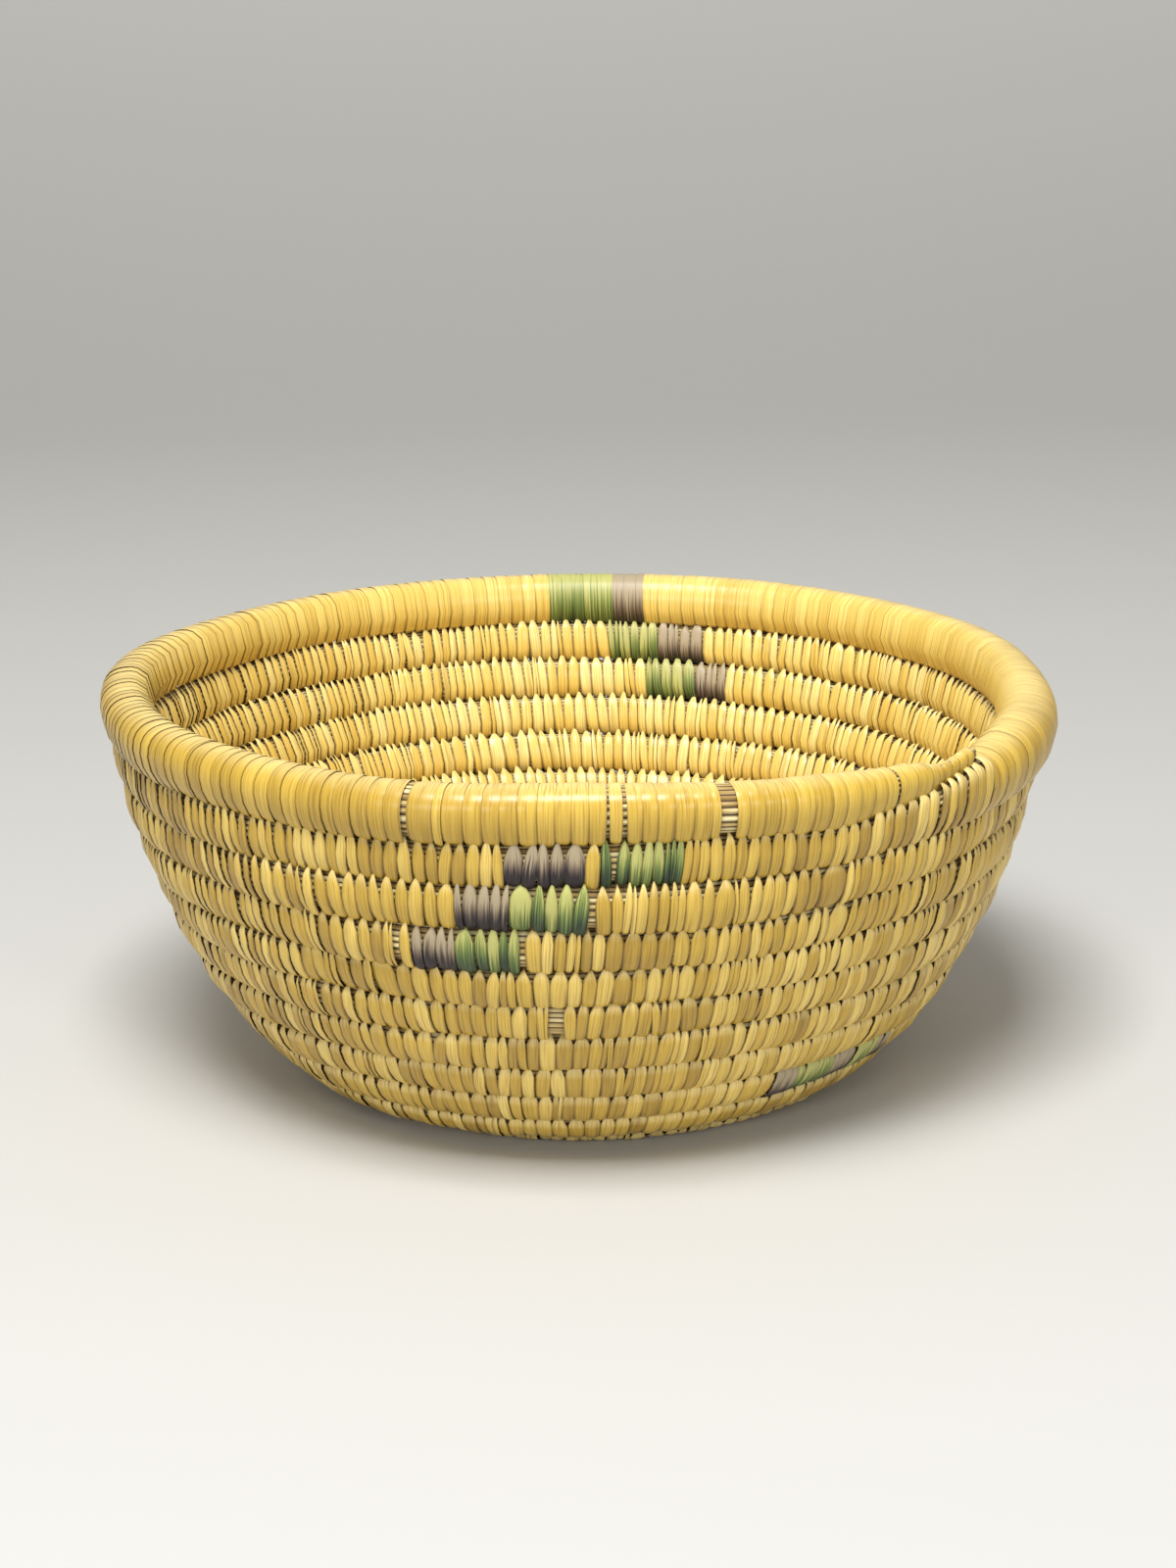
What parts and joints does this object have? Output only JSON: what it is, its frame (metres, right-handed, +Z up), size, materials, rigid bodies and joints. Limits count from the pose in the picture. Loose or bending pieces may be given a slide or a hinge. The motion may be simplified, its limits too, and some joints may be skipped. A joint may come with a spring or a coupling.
{
  "type": "coiled basket",
  "caption": "Shallow open basket of coiled dry grass, sewn with natural strips and small stepped blocks of purple and green dyed strips.",
  "frame": {"origin": "on the floor under the middle of the basket's outline", "axes": "+Z up through the open mouth; -Y towards the viewer, where the front blocks of dyed strips are; +X to the viewer's right, near where the rim's coil ends"},
  "size_m": [0.2215, 0.2215, 0.098],
  "materials": {
    "foundation_grass": "matte",
    "natural_strip": "satin",
    "purple_strip": "satin",
    "green_strip": "satin"
  },
  "bodies": {
    "root": {"foundation_coil": "foundation_grass", "base_stitching": "natural_strip", "foot_stitching": "natural_strip", "foot_purple_1": "purple_strip", "foot_green_1": "green_strip", "foot_purple_2": "purple_strip", "foot_green_2": "green_strip", "foot_purple_3": "purple_strip", "wall_stitching_1": "natural_strip", "front_lower_purple": "purple_strip", "front_lower_green": "green_strip", "wall_stitching_2": "natural_strip", "back_lower_purple": "purple_strip", "back_lower_green": "green_strip", "wall_stitching_3": "natural_strip", "front_middle_purple": "purple_strip", "front_middle_green": "green_strip", "wall_stitching_4": "natural_strip", "back_upper_purple": "purple_strip", "back_upper_green": "green_strip", "wall_stitching_5": "natural_strip", "front_upper_purple": "purple_strip", "front_upper_natural": "natural_strip", "front_upper_green": "green_strip", "wall_stitching_6": "natural_strip", "back_rim_purple": "purple_strip", "back_rim_green": "green_strip", "rim_stitching": "natural_strip"}
  },
  "joints": []
}
